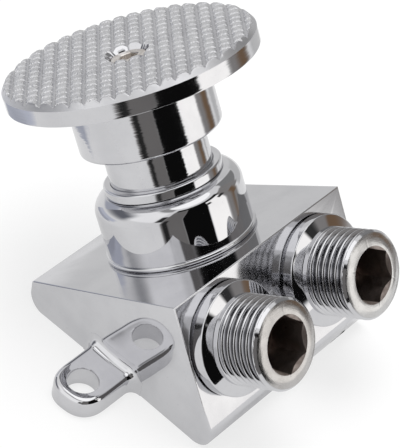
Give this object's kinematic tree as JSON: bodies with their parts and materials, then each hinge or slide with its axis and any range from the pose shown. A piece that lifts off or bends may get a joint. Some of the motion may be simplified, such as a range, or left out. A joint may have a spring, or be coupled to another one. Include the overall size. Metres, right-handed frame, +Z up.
{
  "type": "foot pedal tap valve",
  "caption": "Chrome foot-operated tap valve: wedge-shaped floor block with mounting lugs, threaded ports at the back and a sprung round knurled pedal that opens the water when pressed.",
  "frame": {"origin": "on the floor, midway between the two lug holes", "axes": "+X from the toe to the ports, +Y across the block, +Z up"},
  "size_m": [0.0974, 0.0902, 0.0766],
  "materials": {
    "polished_chrome": "polished",
    "turned_chrome": "fine turned",
    "steel": "plain",
    "brass": "machined",
    "rubber": "matte",
    "fibre": "matte"
  },
  "bodies": {
    "valve": {"valve_body": "polished_chrome", "bonnet": "polished_chrome", "bonnet_seal": "rubber", "gland_ring": "turned_chrome", "plunger_wiper": "rubber", "inlet_nipple": "polished_chrome", "outlet_nipple": "polished_chrome", "inlet_gasket": "fibre", "outlet_gasket": "fibre", "guide_insert": "brass", "guide_seal": "rubber", "spindle_seal_upper": "rubber", "spindle_seal_lower": "rubber", "return_spring": "steel", "valve_seat": "brass", "seat_seal": "fibre"},
    "pedal": {"pedal_plate": "turned_chrome", "pedal_screw": "steel", "pedal_hub": "turned_chrome", "plunger_sleeve": "turned_chrome", "spindle": "brass", "disc_washer": "rubber", "valve_disc": "brass", "disc_nut": "steel"}
  },
  "joints": [
    {"name": "pedal_press", "type": "slide", "parent": "valve", "child": "pedal", "axis": [0.5299, 0, -0.848], "range_m": [0, 0.006], "stiffness_N_per_m": 2500, "springref_m": -0.008, "deforming": ["return_spring"]}
  ]
}
